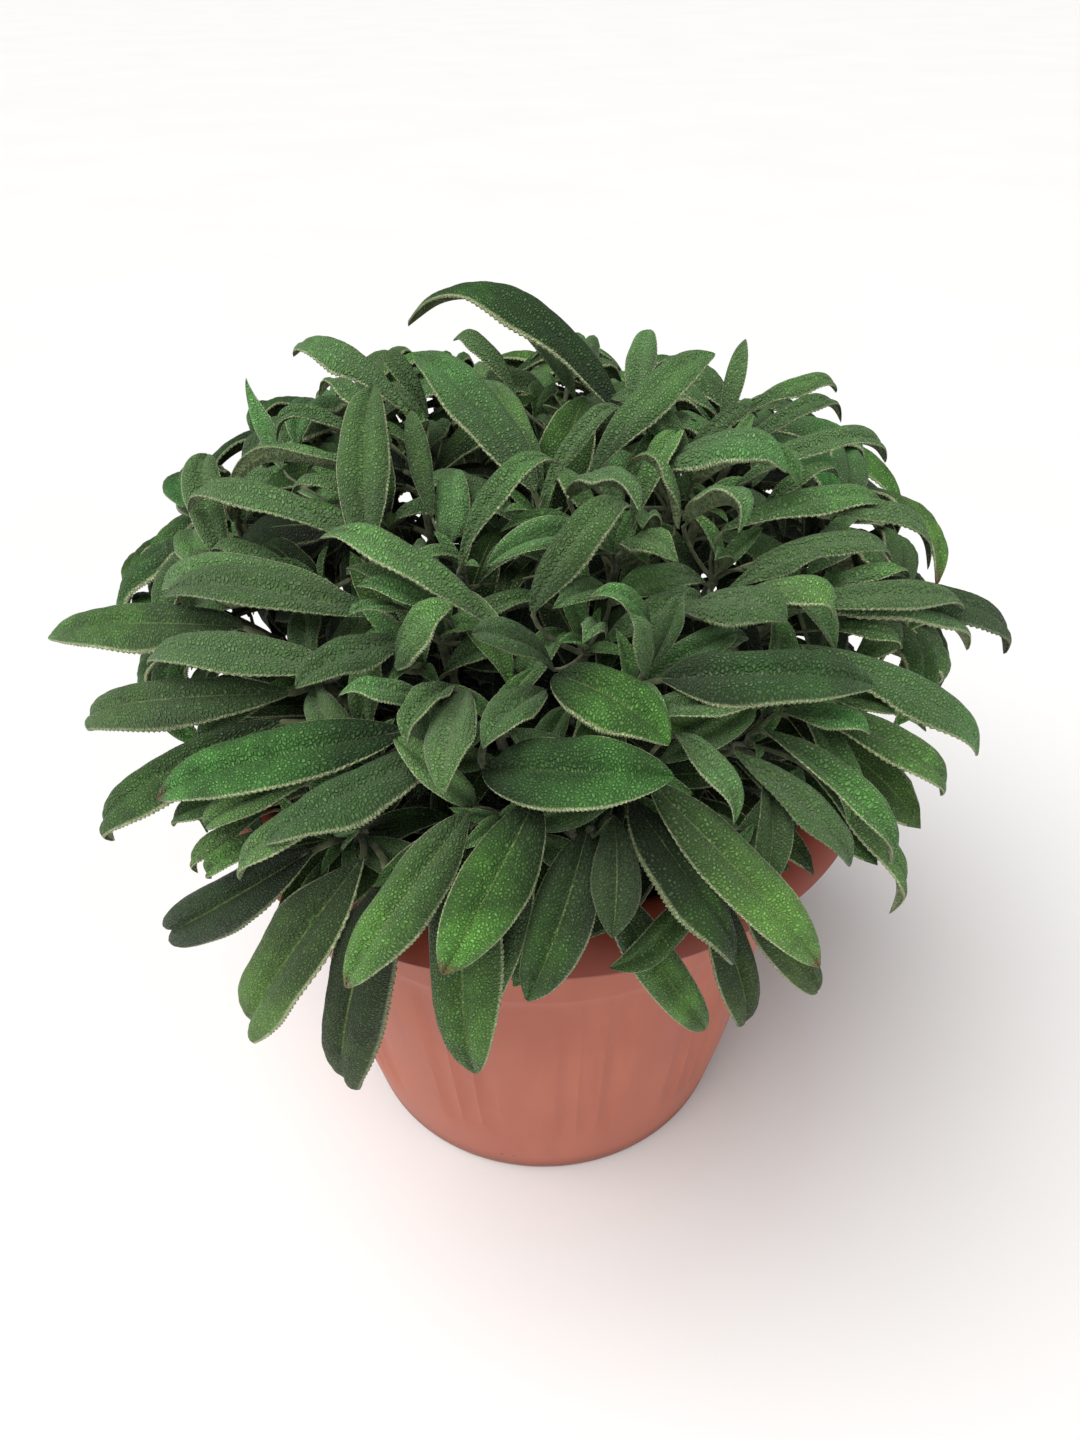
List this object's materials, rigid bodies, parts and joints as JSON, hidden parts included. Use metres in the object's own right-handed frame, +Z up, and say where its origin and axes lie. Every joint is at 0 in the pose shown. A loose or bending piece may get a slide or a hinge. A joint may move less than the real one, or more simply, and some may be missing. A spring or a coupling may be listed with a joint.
{
  "type": "potted sage",
  "caption": "Round bush of common sage, with long arching leaves on leaning stems, growing in a tapered, fluted pot with a sloping collar.",
  "frame": {"origin": "centre of the pot's flat underside, where it rests", "axes": "+Z up, -Y the front, where the longest leaves hang over the rim, +X to the right of that front"},
  "size_m": [0.2779, 0.3036, 0.2979],
  "materials": {
    "pot_plastic": "moulded terracotta-coloured plastic, matte, with a dusty bloom",
    "soil": "dark crumbly potting soil, moist and rough",
    "foliage": "soft grey-green leaves with a fine pebbled surface and a pale felt, on grey-brown stems"
  },
  "bodies": {
    "root": {"pot": "pot_plastic", "potting_soil": "soil", "shoot_01": "foliage", "shoot_02": "foliage", "shoot_03": "foliage", "shoot_04": "foliage", "shoot_05": "foliage", "shoot_06": "foliage", "shoot_07": "foliage", "shoot_08": "foliage", "shoot_09": "foliage", "shoot_10": "foliage", "shoot_11": "foliage", "shoot_12": "foliage", "shoot_13": "foliage", "shoot_14": "foliage", "shoot_15": "foliage", "shoot_16": "foliage", "shoot_17": "foliage", "shoot_18": "foliage", "shoot_19": "foliage", "shoot_20": "foliage", "shoot_21": "foliage", "shoot_22": "foliage", "shoot_23": "foliage", "shoot_24": "foliage", "shoot_25": "foliage", "shoot_26": "foliage", "shoot_27": "foliage", "shoot_28": "foliage", "shoot_29": "foliage", "shoot_30": "foliage", "shoot_31": "foliage", "shoot_32": "foliage", "shoot_33": "foliage", "shoot_34": "foliage", "shoot_35": "foliage", "shoot_36": "foliage", "shoot_37": "foliage", "shoot_38": "foliage", "shoot_39": "foliage", "shoot_40": "foliage", "shoot_41": "foliage", "shoot_42": "foliage", "shoot_43": "foliage", "shoot_44": "foliage", "shoot_45": "foliage", "shoot_46": "foliage", "shoot_47": "foliage", "shoot_48": "foliage"}
  },
  "joints": []
}
